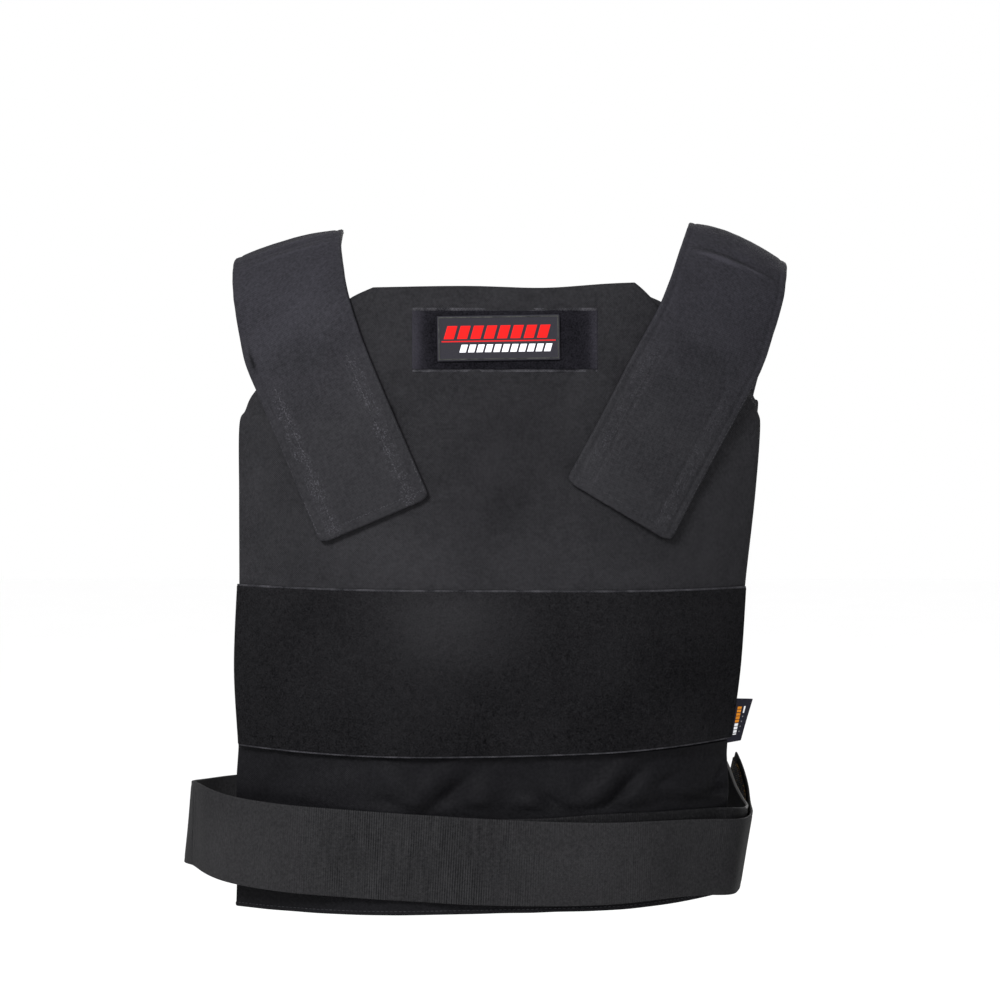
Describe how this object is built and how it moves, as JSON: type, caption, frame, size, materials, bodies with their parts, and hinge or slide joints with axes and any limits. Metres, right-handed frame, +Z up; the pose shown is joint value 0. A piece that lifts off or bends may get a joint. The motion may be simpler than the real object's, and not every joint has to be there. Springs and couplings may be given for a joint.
{
  "type": "concealable bulletproof vest",
  "caption": "Concealable soft body-armour vest in its worn form: padded front and back panels, over-shoulder straps, loop tape band, tuck-in flap and elastic side straps.",
  "frame": {"origin": "midway between the undersides of the two shoulder straps, where they sit on the wearer's shoulders", "axes": "+Z up, -Y is where the chest faces, +X is the wearer's left and the viewer's right"},
  "size_m": [0.496, 0.2454, 0.5479],
  "materials": {
    "carrier_nylon": "black woven nylon with a soft matt sheen",
    "flap_nylon": "thin black woven nylon, soft wrinkles",
    "strap_nylon": "black woven nylon with rows of stitching",
    "loop_pile": "matt black loop pile tape",
    "elastic": "ribbed black woven elastic",
    "hook_tape": "dark hook tape with a fine stiff nap",
    "patch_cloth": "embroidered black patch with a merrowed border",
    "label_weave": "satin woven label"
  },
  "bodies": {
    "root": {"front_carrier": "carrier_nylon", "back_carrier": "carrier_nylon", "tuck_flap": "flap_nylon", "loop_band": "loop_pile", "chest_loop_field": "loop_pile", "name_patch": "patch_cloth", "shoulder_strap_left": "strap_nylon", "shoulder_strap_right": "strap_nylon", "strap_hook_left": "hook_tape", "strap_hook_right": "hook_tape", "belt_outer": "elastic", "belt_inner": "elastic", "belt_hook": "hook_tape", "side_label": "label_weave"}
  },
  "joints": []
}
